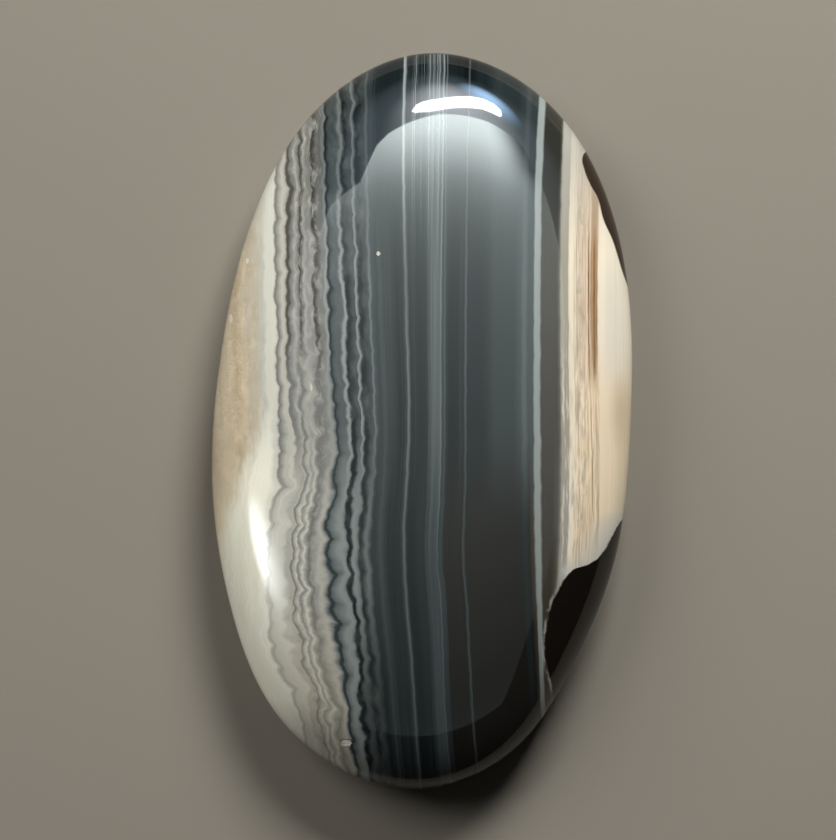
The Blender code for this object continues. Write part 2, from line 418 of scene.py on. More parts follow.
def banded_colour(tree, place, along):
    """All the bands, with the looks that come in and the tones that grow stronger towards an end."""
    taken_over = {}
    for look, (first, last, easing) in COMING_IN.items():
        taken_over[look] = add(tree, "ShaderNodeMapRange", {
            "Value": along, "From Min": first, "From Max": last}, interpolation_type=easing)
    colour = None
    for run, others in ACROSS_THE_STONE:
        layers = bands(tree, place, run)
        for other, look in others:
            layers = laid_over(tree, layers, bands(tree, place, other), taken_over[look])
        if colour is None:
            colour = layers
        else:
            past = add(tree, "ShaderNodeMath", {0: place, 1: run[0][0]}, operation="GREATER_THAN")
            colour = laid_over(tree, colour, layers, past)
    for tone, (first, last), most, layers in TOWARDS_THE_ENDS:
        stronger = add(tree, "ShaderNodeMapRange", {
            "Value": along, "From Min": first, "From Max": last, "To Max": most})
        colour = laid_over(tree, colour, tone, stronger, between(tree, place, *layers))
    return colour


# How the bands wander and scallop.
# Each band drifts sideways along the stone, and the grey ones grew in rounded lobes that meet in cusps, each
# band with lobes of its own. Hardly any of it is left in the smoky black, where the bands lie straight.

HALF_LENGTH_MM = 21.0

# How far the bands have drifted sideways, as (y, drift) in millimetres. One curve for each place across.
DRIFT = (
    (-8.2, (
        (-21, 2.1), (-16, 0.9), (-14, 0.0), (-12.5, -0.5), (-7.5, -0.55), (-5.5, -0.4), (-2, 0.2), (1, 0.0),
        (21, -0.1),
    )),
    (-4.5, (
        (-21, 1.95), (-17, 1.15), (-13, 0.65), (-9, 0.15), (-6.5, 0.0), (-4, 0.25), (-1, 0.4), (2, 0.2),
        (6, 0.0), (11, -0.2), (16, -0.35), (21, -0.5),
    )),
    (-0.9, (
        (-21, 0.95), (-14, 0.35), (-6.5, -0.15), (-3.5, 0.0), (0, 0.15), (6, 0.0), (15, -0.15), (21, -0.05),
    )),
    (1.1, ((-21, 0.6), (-17, 0.3), (-10, 0.0), (-7.5, -0.2), (-3.5, -0.05), (6, 0.0), (21, 0.2))),
    (6.5, ((-21, 1.2), (-16, 0.55), (-13, 0.3), (-6, 0.0), (12, 0.0), (15, 0.1), (18, 0.3), (21, 0.6))),
    (7.8, ((-21, 0.4), (-13, -0.3), (-10, -0.2), (-6, 0.0), (9, 0.0), (13, 0.1), (17, 0.3), (21, 0.5))),
)
DRIFT_LEAST = -1.0
DRIFT_MOST = 2.5

LOBE_LENGTH_MM = 0.95  # from one cusp to the next along a band
LOBE_REACH_MM = 1.4  # how far across the bands a lobe carries
LOBE_DEPTH_MM = 0.18
LOBE_UNEVENNESS = 0.9
CUSP_SOFTNESS = 0.25
LOBE_EDGE_SQUARED = 0.4  # the square of how far its cusps are from a lobe's middle, in lobes
ROLL_SIZE_MM = (1.7, 2.3)
ROLL_DEPTH_MM = 0.2
FRAY_SIZE_MM = (0.5, 0.32)
FRAY_DEPTH_MM = 0.065
LOBES_DIE_OUT = (-4.6, -1.5)  # between which places across the bands
STRAIGHT_SHARE = 0.12  # how much of the lobes is left in the straight bands
LOBES_SHRINK = (-2.0, 5.0)  # between which places along the stone
NEAR_LOBES = 1.1  # how deep they are at the near end and at the far end
FAR_LOBES = 0.72


def drifting(tree, across, along):
    """How far the bands have drifted sideways here, in millimetres."""
    share = add(tree, "ShaderNodeMapRange", {
        "Value": along, "From Min": -HALF_LENGTH_MM, "From Max": HALF_LENGTH_MM})
    spread = DRIFT_MOST - DRIFT_LEAST
    blended = None
    for here, points in DRIFT:
        drawn = [((y / HALF_LENGTH_MM + 1) / 2, (drift - DRIFT_LEAST) / spread) for y, drift in points]
        curve = add(tree, "ShaderNodeFloatCurve", {"Value": share}, points=drawn)
        if blended is None:
            blended = curve
        else:
            reach = add(tree, "ShaderNodeMapRange", {"Value": across, "From Min": before, "From Max": here})
            blended = add(tree, "ShaderNodeMix", {0: reach, 2: blended, 3: curve})
        before = here
    return add(tree, "ShaderNodeMapRange", {"Value": blended, "To Min": DRIFT_LEAST, "To Max": DRIFT_MOST})


def scalloping(tree, place, along):
    """How far the lobes push a band's line sideways here, with their slow roll and the line's fraying."""
    flat = add(tree, "ShaderNodeCombineXYZ", {"X": place, "Y": along})
    cell = add(tree, "ShaderNodeVectorMath", {
        0: flat, 1: (LOBE_REACH_MM, LOBE_LENGTH_MM, 1.0)}, operation="DIVIDE")
    from_middle = add(tree, "ShaderNodeTexVoronoi", {
        "Vector": cell, "Scale": 1.0, "Randomness": LOBE_UNEVENNESS, "Smoothness": CUSP_SOFTNESS},
        voronoi_dimensions="2D", feature="SMOOTH_F1")
    squared = add(tree, "ShaderNodeMath", {0: from_middle, 1: from_middle}, operation="MULTIPLY")
    lobe = add(tree, "ShaderNodeMapRange", {
        "Value": squared, "From Max": LOBE_EDGE_SQUARED, "To Min": -LOBE_DEPTH_MM / 2,
        "To Max": LOBE_DEPTH_MM / 2}, clamp=False)
    roll = add(tree, "ShaderNodeMath", {
        0: grain(tree, place, along, ROLL_SIZE_MM), 1: 0.5}, operation="SUBTRACT")
    total = add(tree, "ShaderNodeMath", {0: roll, 1: 2 * ROLL_DEPTH_MM, 2: lobe}, operation="MULTIPLY_ADD")
    fray = add(tree, "ShaderNodeMath", {
        0: grain(tree, place, along, FRAY_SIZE_MM), 1: 0.5}, operation="SUBTRACT")
    total = add(tree, "ShaderNodeMath", {0: fray, 1: 2 * FRAY_DEPTH_MM, 2: total}, operation="MULTIPLY_ADD")
    inwards = add(tree, "ShaderNodeMapRange", {
        "Value": place, "From Min": LOBES_DIE_OUT[0], "From Max": LOBES_DIE_OUT[1], "To Min": 1.0,
        "To Max": STRAIGHT_SHARE}, interpolation_type="SMOOTHSTEP")
    towards_far_end = add(tree, "ShaderNodeMapRange", {
        "Value": along, "From Min": LOBES_SHRINK[0], "From Max": LOBES_SHRINK[1], "To Min": NEAR_LOBES,
        "To Max": FAR_LOBES})
    strength = add(tree, "ShaderNodeMath", {0: inwards, 1: towards_far_end}, operation="MULTIPLY")
    return add(tree, "ShaderNodeMath", {0: total, 1: strength}, operation="MULTIPLY")


# The tan side.
# The oldest, most weathered layers: tan with ochre stains and pale streaks along the bands, ending in an
# ivory layer that widens towards the near end in brush-like streaks. The polish takes less well on the tan.
# Shade is painted over their foot, where the stone turns away from the light.

TAN_LAYERS = (-12.6, -12.5, -9.4, -8.7)
TAN_STRETCH = (-6.0, -2.5, 11.0, 15.0)  # a stretch along the stone, given by four places in the same way

# Patches of grain: their size in millimetres, the least and the most noise that shows, and its detail.
OCHRE_CLOUDS = ((0.75, 1.0), 0.45, 0.62, 4.0)
OCHRE_SHARE = 0.2
CREAM_CLOUDS = ((1.3, 0.5), 0.54, 0.68, 4.0)
CREAM_SHARE = 0.26
PEARL_STREAKS = ((0.22, 3.2), 0.45, 0.65, 3.0)
PEARL_SHARE = 0.3

# The ivory's edge as (y, x), before the brush strokes.
IVORY_EDGE = (
    (-21.0, -12.4), (-11.4, -12.3), (-9.1, -11.7), (-7.1, -11.3), (-5.6, -10.95), (-4.5, -10.65),
    (-3.4, -10.3), (-2.2, -9.85), (-1.1, -9.3), (0.3, -8.95), (1.2, -8.75), (4.0, -8.7), (5.8, -8.85),
    (10.9, -8.95), (21.0, -8.95),
)
IVORY_LEAST = -12.5
IVORY_MOST = -8.5
IVORY_SOFTNESS = 0.7
IVORY_LAYERS = (-12.6, -11.4, -8.7, -8.4)
IVORY_WHITENS = (2.0, -3.0)  # between which places along the stone it turns from chalky to milky
BRUSH_MM = (0.4, 1.7)
BRUSH_DETAIL = 3.0
BRUSH_REACH_MM = 0.6
# Painted shade: the foot of the tan and ivory layers is darkened where the stone turns away from the light.
PAINTED_SHADE_FOOT = (-15.8, -18.8)  # between which places along the stone the foot dims
PAINTED_SHADE_FOOT_SHARE = 0.55
PAINTED_SHADE_FOOT_LAYERS = (-12.6, -12.5, -8.4, -6.0)


def drawn_edge(tree, along, points, least, most):
    """How far across an edge lies here, in millimetres. Its points are (y, x), with x from least to most."""
    nearest, farthest = points[0][0], points[-1][0]
    share = add(tree, "ShaderNodeMapRange", {"Value": along, "From Min": nearest, "From Max": farthest})
    drawn = [((y - nearest) / (farthest - nearest), (x - least) / (most - least)) for y, x in points]
    curve = add(tree, "ShaderNodeFloatCurve", {"Value": share}, points=drawn)
    return add(tree, "ShaderNodeMapRange", {"Value": curve, "To Min": least, "To Max": most})


def tan_side(tree, colour, across, place, along):
    """The tan layers clouded and streaked, with the ivory's ragged edge laid over them and shade painted at
    the foot.
    """
    side = between(tree, place, *TAN_LAYERS)
    stretch = between(tree, along, *TAN_STRETCH)
    clouds = grain(tree, across, along, *OCHRE_CLOUDS)
    colour = laid_over(tree, colour, "ochre", clouds, side, stretch, OCHRE_SHARE)
    pale = grain(tree, along, across, *CREAM_CLOUDS)
    colour = laid_over(tree, colour, "cream", pale, side, stretch, CREAM_SHARE)
    streaks = grain(tree, across, along, *PEARL_STREAKS)
    colour = laid_over(tree, colour, "pearl", streaks, side, stretch, PEARL_SHARE)
    brush = add(tree, "ShaderNodeMapRange", {
        "Value": grain(tree, across, along, BRUSH_MM, detail=BRUSH_DETAIL), "To Min": -BRUSH_REACH_MM,
        "To Max": BRUSH_REACH_MM})
    edge = drawn_edge(tree, along, IVORY_EDGE, IVORY_LEAST, IVORY_MOST)
    past_edge = add(tree, "ShaderNodeMath", {0: across, 1: edge}, operation="SUBTRACT")
    past_edge = add(tree, "ShaderNodeMath", {0: past_edge, 1: brush})
    ivory = add(tree, "ShaderNodeMapRange", {
        "Value": past_edge, "From Min": -IVORY_SOFTNESS, "From Max": IVORY_SOFTNESS},
        interpolation_type="SMOOTHSTEP")
    whitened = add(tree, "ShaderNodeMapRange", {
        "Value": along, "From Min": IVORY_WHITENS[0], "From Max": IVORY_WHITENS[1]})
    tone = laid_over(tree, linear(TONES["chalk"]), "milk", whitened)
    colour = laid_over(tree, colour, tone, ivory, between(tree, place, *IVORY_LAYERS))
    # Painted shade: peat laid over the foot, where the stone turns away from the light.
    foot = add(tree, "ShaderNodeMapRange", {
        "Value": along, "From Min": PAINTED_SHADE_FOOT[0], "From Max": PAINTED_SHADE_FOOT[1], "To Max": PAINTED_SHADE_FOOT_SHARE})
    return laid_over(tree, colour, "peat", foot, between(tree, place, *PAINTED_SHADE_FOOT_LAYERS))


# The grey layers' clouding and the smoky layers' hair-thin growth lines.
# Agate is never one flat tone: silica of slightly different purity clouds the grey layers in soft blotches,
# and the smoky ones are built of layers a tenth of a millimetre thick, seen as faint lines along the stone.

GREY_LAYERS = (-7.4, -7.1, -5.7, -5.4)
DARK_BLOTCHES = ((0.45, 0.6), 0.5, 0.75, 3.0)
DARK_SHARE = 0.4
PALE_BLOTCHES = ((0.9, 0.3), 0.5, 0.75, 3.0)
PALE_SHARE = 0.5
MILKY_LAYERS = (-5.1, -4.9, -3.2, -2.9)
MILKY_BLOTCHES = ((0.7, 1.6), 0.45, 0.8, 3.0)
MILKY_SHARE = 0.3
HAIRS_MM = (0.1, 14.0)
HAIR_LAYERS = (-3.0, -2.4, 2.5, 3.8)
FAINT_HAIRS = 0.2
PLAIN_HAIRS = 1.1
BRIGHT_HAIRS = ((0.07, 30.0), 0.6, 0.72)
BRIGHT_HAIR_LAYERS = (-0.7, -0.5, 1.25, 1.35)
BRIGHT_HAIR_STRETCH = (9.0, 15.0, 21.0, 22.0)
BRIGHT_HAIR_SHARE = 0.8


def clouded_greys(tree, colour, place, along):
    """Soft blotches in the grey layers, some darker and some paler."""
    layers = between(tree, place, *GREY_LAYERS)
    dark = grain(tree, place, along, *DARK_BLOTCHES)
    colour = laid_over(tree, colour, "taupe", dark, layers, DARK_SHARE)
    pale = grain(tree, along, place, *PALE_BLOTCHES)
    colour = laid_over(tree, colour, "pearl", pale, layers, PALE_SHARE)
    milky = grain(tree, place, along, *MILKY_BLOTCHES)
    return laid_over(tree, colour, "pewter", milky, between(tree, place, *MILKY_LAYERS), MILKY_SHARE)


def hair_lines(tree, colour, place, along):
    """Thin growth lines, plain in the smoky black and faint in the pale layers."""
    hair = grain(tree, place, along, HAIRS_MM)
    strength = add(tree, "ShaderNodeMapRange", {
        "Value": between(tree, place, *HAIR_LAYERS), "To Min": FAINT_HAIRS, "To Max": PLAIN_HAIRS})
    centred = add(tree, "ShaderNodeMath", {0: hair, 1: 0.5}, operation="SUBTRACT")
    factor = add(tree, "ShaderNodeMath", {0: centred, 1: strength, 2: 1.0}, operation="MULTIPLY_ADD")
    colour = add(tree, "ShaderNodeVectorMath", {0: colour, "Scale": factor}, operation="SCALE")
    return laid_over(
        tree, colour, "pewter", grain(tree, place, along, *BRIGHT_HAIRS),
        between(tree, place, *BRIGHT_HAIR_LAYERS), between(tree, along, *BRIGHT_HAIR_STRETCH),
        BRIGHT_HAIR_SHARE)


# The cream layers.
# Opaque cream chalcedony. Iron has seeped along a few of its joints and left brown threads, the innermost
# layer is flecked with grey-green flakes, and one patch near the rim is stained brown.

# Each thread runs between two (x, y) places, with its half width, its tone and how strong it is.
THREADS = (
    ((9.4, 11.4), (9.42, 2.2), 0.07, "iron brown", 0.95),
    ((9.55, 10.6), (9.54, 5.0), 0.05, "iron brown", 0.5),
    ((9.74, 10.6), (9.72, 2.6), 0.11, "iron brown", 0.75),
    ((9.9, 9.9), (9.87, 4.6), 0.05, "iron brown", 0.5),
    ((9.44, 1.9), (9.5, -0.2), 0.035, "iron brown", 0.4),
    ((9.5, -0.3), (9.62, -5.4), 0.045, "iron brown", 0.85),
    ((9.78, 1.8), (9.95, -7.5), 0.08, "sand", 0.6),
    ((8.71, 12.0), (8.72, 3.5), 0.035, "drab", 0.5),
    ((8.77, 1.8), (8.78, -1.4), 0.045, "drab", 0.7),
    ((8.8, -3.2), (8.83, -4.9), 0.04, "peat", 0.6),
    ((8.87, -5.6), (8.93, -8.3), 0.04, "peat", 0.6),
)
STAIN_MIDDLE = (11.2, 0.5)
STAIN_HALF = (0.75, 2.4)
STAIN_FULL = 0.2  # how far out it stays full, as a share of its half size
STAIN_SHARE = 0.3
THREAD_BREAKS = ((0.12, 2.0), 0.3, 0.7, 3.0)
THREAD_LEAST = 0.5  # how much of a thread is left where it is broken
THREAD_CORE = 0.2  # the share of its half width where it is full
THREAD_NEAR_TIP = (-0.6, 0.5)  # from where to where it comes in, past its near end
THREAD_FAR_TIP = (-1.2, 0.6)
THREADED_LAYERS = (8.5, 8.6, 9.96, 10.05)
SAND_STREAKS = ((2.4, 0.09), 0.42, 0.66)
SAND_SHARE = 0.55
BLOTCHED_LAYERS = (8.66, 8.74, 9.15, 9.3)
SAGE_BLOTCHES = ((0.3, 1.1), 0.52, 0.68, 3.0)
BLOTCH_SHARE = 0.5
FLAKED_LAYERS = (7.75, 7.9, 9.1, 9.3)
FLAKED_STRETCH = (-10.0, -6.5, 0.5, 6.0)
SAGE_FLAKES = ((1.9, 0.26), 0.48, 0.72, 1.5)
SAGE_FLAKE_SHARE = 0.6
CREAM_FLAKES = ((0.16, 1.5), 0.5, 0.75, 1.5)
CREAM_FLAKE_SHARE = 0.7
CREAM_LAYERS = (7.7, 7.8, 12.6, 12.7)
GREYER = (9.5, 15.5)  # between which places along the stone
GREYER_SHARE = 0.75
WHITER_LAYERS = (9.95, 10.6, 11.0, 12.0)
WHITER_STRETCH = (1.0, 4.5, 7.5, 11.0)
WHITER_SHARE = 0.4


def rounded(tree, across, along, middle, half):
    """How far this place is from a patch's middle, as a share of its half width and half length."""
    flat = add(tree, "ShaderNodeCombineXYZ", {"X": across, "Y": along})
    away = add(tree, "ShaderNodeVectorMath", {0: flat, 1: (*middle, 0.0)}, operation="SUBTRACT")
    shares = add(tree, "ShaderNodeVectorMath", {0: away, 1: (*half, 1.0)}, operation="DIVIDE")
    return add(tree, "ShaderNodeVectorMath", {0: shares}, operation="LENGTH")


def cream_side(tree, colour, across, place, along):
    """The cream layers with their threads, flakes and stain, greyer towards the far end."""
    streaks = grain(tree, along, place, *SAND_STREAKS)
    colour = laid_over(tree, colour, "sand", streaks, between(tree, place, *THREADED_LAYERS), SAND_SHARE)
    blotches = grain(tree, place, along, *SAGE_BLOTCHES)
    colour = laid_over(tree, colour, "sage", blotches, between(tree, place, *BLOTCHED_LAYERS), BLOTCH_SHARE)
    flaked = between(tree, place, *FLAKED_LAYERS)
    stretch = between(tree, along, *FLAKED_STRETCH)
    flakes = grain(tree, along, place, *SAGE_FLAKES)
    colour = laid_over(tree, colour, "sage", flakes, stretch, flaked, SAGE_FLAKE_SHARE)
    flakes = grain(tree, place, along, *CREAM_FLAKES)
    colour = laid_over(tree, colour, "cream", flakes, stretch, flaked, CREAM_FLAKE_SHARE)
    broken = grain(tree, place, along, *THREAD_BREAKS)
    for (far_x, far_y), (near_x, near_y), half_width, tone, strength in THREADS:
        line = add(tree, "ShaderNodeMapRange", {
            "Value": along, "From Min": far_y, "From Max": near_y, "To Min": far_x, "To Max": near_x})
        aside = add(tree, "ShaderNodeMath", {0: place, 1: line}, operation="SUBTRACT")
        aside = add(tree, "ShaderNodeMath", {0: aside}, operation="ABSOLUTE")
        on_line = add(tree, "ShaderNodeMapRange", {
            "Value": aside, "From Min": half_width, "From Max": THREAD_CORE * half_width})
        near_tip = [near_y + past for past in THREAD_NEAR_TIP]
        far_tip = [far_y + past for past in THREAD_FAR_TIP]
        presence = add(tree, "ShaderNodeMapRange", {
            "Value": broken, "To Min": THREAD_LEAST * strength, "To Max": strength})
        colour = laid_over(tree, colour, tone, on_line, between(tree, along, *near_tip, *far_tip), presence)
    greyer = add(tree, "ShaderNodeMapRange", {
        "Value": along, "From Min": GREYER[0], "From Max": GREYER[1], "To Max": GREYER_SHARE})
    colour = laid_over(tree, colour, "ash", greyer, between(tree, place, *CREAM_LAYERS))
    colour = laid_over(
        tree, colour, "chalk", between(tree, along, *WHITER_STRETCH), between(tree, place, *WHITER_LAYERS),
        WHITER_SHARE)
    stain = add(tree, "ShaderNodeMapRange", {
        "Value": rounded(tree, across, along, STAIN_MIDDLE, STAIN_HALF), "From Min": 1.0,
        "From Max": STAIN_FULL})
    return laid_over(tree, colour, "sand", stain, STAIN_SHARE)


# The growths at the cream's two ends.
# Near the foot of the stone the cream ends against black agate, with a bluish-white rim; at the far end it
# holds a dark brown lens. Both are cut through by the dome, so they show as patches with a crisp edge.

BLACK_END_EDGE = (
    (-21.0, 4.0), (-17.5, 7.2), (-16.0, 7.5), (-13.0, 6.95), (-11.0, 7.15), (-9.0, 7.95), (-8.4, 8.5),
    (-8.1, 9.4), (-7.6, 10.1), (-6.5, 10.8), (-5.6, 11.4), (-5.1, 12.4),
)
BROWN_LENS_EDGE = (
    (7.2, 11.95), (8.2, 11.5), (10.3, 10.8), (11.4, 10.3), (12.7, 9.95), (13.4, 9.55), (14.3, 9.2),
    (14.9, 9.1), (15.3, 9.3), (15.6, 10.2), (16.2, 12.4),
)
ENDS_LEAST = 3.5
ENDS_MOST = 12.6
RAGGED_MM = (0.5, 0.5)
RAGGED_REACH_MM = 0.09

# The pale rim outside the black growth and the broken lining on its edge, by the distance out from the edge.
RIM = (-0.1, 0.0, 0.1, 1.9)
RIM_LAYERS = (7.6, 8.0, 12.6, 12.7)
RIM_STRETCH = (-9.2, -8.4, -5.8, -3.6)
RIM_SHARE = 0.85
LINING = (0.0, 0.06, 0.1, 0.22)
LINING_STRETCH = (-16.5, -15.0, -9.8, -9.0)
LINING_BREAKS = ((0.3, 0.8), 0.3, 0.55)
LINING_SHARE = 0.85
BLACK_EDGE_SOFTNESS = 0.05
LENS_EDGE_SOFTNESS = 0.04
LENS_STRETCH = (7.2, 7.4, 16.0, 16.2)
SPECKLES = ((0.13, 0.13), 0.5, 0.8)
SPECKLE_SHARE = 0.35


def growth_ends(tree, colour, across, along):
    """The black growth with its pale rim at the near end, and the brown lens at the far end."""
    ragged = add(tree, "ShaderNodeMapRange", {
        "Value": grain(tree, across, along, RAGGED_MM), "To Min": -RAGGED_REACH_MM,
        "To Max": RAGGED_REACH_MM})
    edge = drawn_edge(tree, along, BLACK_END_EDGE, ENDS_LEAST, ENDS_MOST)
    short_of_edge = add(tree, "ShaderNodeMath", {0: edge, 1: across}, operation="SUBTRACT")
    short_of_edge = add(tree, "ShaderNodeMath", {0: short_of_edge, 1: ragged})
    colour = laid_over(
        tree, colour, "bluish white", between(tree, short_of_edge, *RIM),
        between(tree, along, *RIM_STRETCH), between(tree, across, *RIM_LAYERS), RIM_SHARE)
    colour = laid_over(
        tree, colour, "ash", between(tree, short_of_edge, *LINING),
        grain(tree, across, along, *LINING_BREAKS), between(tree, along, *LINING_STRETCH), LINING_SHARE)
    black = add(tree, "ShaderNodeMapRange", {
        "Value": short_of_edge, "From Min": BLACK_EDGE_SOFTNESS, "From Max": -BLACK_EDGE_SOFTNESS})
    colour = laid_over(tree, colour, "brown black", black)
    edge = drawn_edge(tree, along, BROWN_LENS_EDGE, ENDS_LEAST, ENDS_MOST)
    past_edge = add(tree, "ShaderNodeMath", {0: across, 1: edge}, operation="SUBTRACT")
    lens = add(tree, "ShaderNodeMapRange", {
        "Value": past_edge, "From Min": -LENS_EDGE_SOFTNESS, "From Max": LENS_EDGE_SOFTNESS})
    stretch = between(tree, along, *LENS_STRETCH)
    colour = laid_over(tree, colour, "lens brown", lens, stretch)
    speckles = grain(tree, across, along, *SPECKLES)
    return laid_over(tree, colour, "iron brown", speckles, lens, stretch, SPECKLE_SHARE)


# The stone, put together.
# Lapped and polished until it looks wet: sharp reflections over deep, slightly milky colour, a little duller
# on the tan side. A few pits and chips are left from the cutting, paler than the stone around them.

REFRACTION = 1.54

# Each chip's middle and half size, as (x, y) in millimetres, and how white it is.
CHIPS = (
    ((-2.45, 9.4), (0.12, 0.13), 0.6),
    ((-4.3, -18.2), (0.32, 0.2), 0.9),
    ((-10.85, 5.85), (0.14, 0.26), 0.6),
    ((-9.9, 9.1), (0.1, 0.2), 0.55),
    ((-6.2, 1.9), (0.07, 0.22), 0.5),
)
CHIP_RAGGED_MM = (0.14, 0.14)
CHIP_RAGGED_DETAIL = 3.0
CHIP_RAGGEDNESS = (0.45, 1.45)  # how much nearer or farther its middle seems, which frays the outline
CHIP_FULL = 0.7  # how far out it is full, as a share of its half size
CHIP_DEPTH = 0.04 * MM
CHIP_ROUGHNESS = 0.4
POLISH = (0.02, 0.05)  # the least and the most roughness of the polished stone
POLISH_PATCH_MM = (1.2, 3.0)
WEATHERED_LAYERS = (-12.6, -12.5, -10.2, -9.4)
WEATHERED_STRETCH = (-2.0, 1.0, 11.0, 14.0)
WEATHERED_ROUGHNESS = 0.05
PITS = ((0.25, 0.25), 0.3, 0.45, 3.0)
PIT_DEPTH = 0.012 * MM


def chipped(tree, across, along):
    """Where the chips are, each with a ragged outline."""
    ragged = add(tree, "ShaderNodeMapRange", {
        "Value": grain(tree, across, along, CHIP_RAGGED_MM, detail=CHIP_RAGGED_DETAIL),
        "To Min": CHIP_RAGGEDNESS[0], "To Max": CHIP_RAGGEDNESS[1]})
    total = 0.0
    for middle, half, white in CHIPS:
        reach = add(tree, "ShaderNodeMath", {
            0: rounded(tree, across, along, middle, half), 1: ragged}, operation="MULTIPLY")
        here = add(tree, "ShaderNodeMapRange", {
            "Value": reach, "From Min": 1.0, "From Max": CHIP_FULL, "To Max": white})
        total = add(tree, "ShaderNodeMath", {0: here, 1: total})
    return total


def polished_agate():
    """Chalcedony with a wet-looking polish: its bands, its growths and its chips."""
    finish = bpy.data.materials.new("polished_agate")
    finish.use_nodes = True
    tree = finish.node_tree
    surface = tree.nodes["Principled BSDF"]
    surface.inputs["IOR"].default_value = REFRACTION
    in_metres = add(tree, "ShaderNodeTexCoord").outputs["Object"]
    in_mm = add(tree, "ShaderNodeVectorMath", {0: in_metres, "Scale": 1 / MM}, operation="SCALE")
    across, along, _ = add(tree, "ShaderNodeSeparateXYZ", {0: in_mm}).outputs
    drift = drifting(tree, across, along)
    straightened = add(tree, "ShaderNodeMath", {0: across, 1: drift}, operation="SUBTRACT")
    lobes = scalloping(tree, straightened, along)
    place = add(tree, "ShaderNodeMath", {0: straightened, 1: lobes}, operation="SUBTRACT")
    colour = banded_colour(tree, place, along)
    colour = tan_side(tree, colour, across, place, along)
    colour = clouded_greys(tree, colour, place, along)
    colour = hair_lines(tree, colour, place, along)
    colour = cream_side(tree, colour, across, place, along)
    colour = growth_ends(tree, colour, across, along)
    chips = chipped(tree, across, along)
    colour = laid_over(tree, colour, "chip", chips)
    tree.links.new(colour.outputs[2], surface.inputs["Base Color"])

    # The polish is a little duller where the stone is softer or weathered, and gone inside the chips.
    softer = add(tree, "ShaderNodeMapRange", {
        "Value": grain(tree, place, along, POLISH_PATCH_MM), "To Min": POLISH[0], "To Max": POLISH[1]})
    weathered = add(tree, "ShaderNodeMath", {
        0: between(tree, across, *WEATHERED_LAYERS), 1: between(tree, along, *WEATHERED_STRETCH)},
        operation="MULTIPLY")
    rough = add(tree, "ShaderNodeMath", {
        0: weathered, 1: WEATHERED_ROUGHNESS, 2: softer}, operation="MULTIPLY_ADD")
    rough = add(tree, "ShaderNodeMath", {0: chips, 1: CHIP_ROUGHNESS, 2: rough}, operation="MULTIPLY_ADD")
    tree.links.new(rough.outputs[0], surface.inputs["Roughness"])
    pits = grain(tree, across, along, *PITS)
    pits = add(tree, "ShaderNodeMix", {0: weathered, 2: 1.0, 3: pits})
    pitted = add(tree, "ShaderNodeBump", {"Height": pits, "Distance": PIT_DEPTH})
    dented = add(tree, "ShaderNodeBump", {
        "Height": chips, "Distance": CHIP_DEPTH, "Normal": pitted}, invert=True)
    tree.links.new(dented.outputs[0], surface.inputs["Normal"])
    return finish


def swept_stone(finish):
    """The stone's skin as a plain mesh."""
    start = bpy.data.objects.new("outline", widest_line())
    bpy.context.scene.collection.objects.link(start)
    sweep = start.modifiers.new("sweep", "NODES")
    sweep.node_group = sweep_tree()
    for item in sweep.node_group.interface.items_tree:
        if item.in_out == "INPUT" and item.name == "Finish":
            sweep[item.identifier] = finish
    ready = start.evaluated_get(bpy.context.evaluated_depsgraph_get())
    mesh = bpy.data.meshes.new_from_object(ready)
    bpy.data.objects.remove(start)
    piece = bpy.data.objects.new("sulemani_agate", mesh)
    bpy.context.scene.collection.objects.link(piece)
    return piece


stone = swept_stone(polished_agate())
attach(stone, "root")
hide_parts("stone")

# The paper under the stone.
# A plain sheet of matt, warm grey paper that the stone lies flat on. It isn't part of the stone.

PAPER_SIDE = 1.6
PAPER_COLOUR = "#86837d"
PAPER_GLOSS = 0.0


def paper():
    """The sheet, facing up."""
    half = PAPER_SIDE / 2
    corners = [(-half, -half, 0), (half, -half, 0), (half, half, 0), (-half, half, 0)]
    mesh = bpy.data.meshes.new("paper")
    mesh.from_pydata(corners, [], [(0, 1, 2, 3)])
    finish = bpy.data.materials.new("matt_paper")
    finish.use_nodes = True
    surface = finish.node_tree.nodes["Principled BSDF"]
    surface.inputs["Base Color"].default_value = linear(PAPER_COLOUR)
    surface.inputs["Specular IOR Level"].default_value = PAPER_GLOSS
    mesh.materials.append(finish)
    sheet = bpy.data.objects.new("paper", mesh)
    bpy.context.scene.collection.objects.link(sheet)
    return sheet


paper()

# The light of the studio.
# What the polish mirrors are level sheets overhead: a broad soft panel, brightest at its far end, a bright
# strip past it with a soft white and a bluish glow, a small patch far to the left, and a dim ceiling. Two
# lamps light the stone and the paper: a small key beyond the far end, and a broad fill farther off on the
# left.

# Corners of the sheets are (x, y) in metres. The panel's glow is given along it, as (y, brightness).
SHEET_HEIGHT = 1.0
PANEL_CORNERS = (
    (0.9, -1.08), (0.95, 0.0), (0.93, 0.42), (0.88, 0.58), (0.83, 0.76), (0.81, 0.86), (0.74, 0.93),
    (0.5, 0.98), (0.35, 0.97), (0.09, 0.94), (-0.18, 0.87), (-0.3, 0.83), (-0.37, 0.77), (-0.42, 0.58),
    (-0.66, 0.56), (-0.95, 0.22), (-0.95, -1.05),
)
PANEL_GLOW = (
    (-1.08, 0.3), (-0.4, 0.36), (-0.2, 0.6), (-0.08, 0.82), (0.03, 1.08), (0.2, 1.7), (0.3, 2.4),
    (0.4, 3.6), (0.5, 5.8), (0.6, 10.0), (0.7, 14.5), (0.8, 18.5), (0.98, 22.0),
)
PANEL_LEFT_SHARE = 0.45
PANEL_LEFT_FADE = (-0.6, 0.05)  # from which side place to which the panel grows to its full strength
PANEL_RIGHT_LOSS = 0.95
PANEL_RIGHT_FADE = (0.42, 0.78)
PANEL_CORNER_FROM = (0.2, 0.7)  # between which places along it the loss at the right sets in
PANEL_COLOUR = "#e6f2f1"
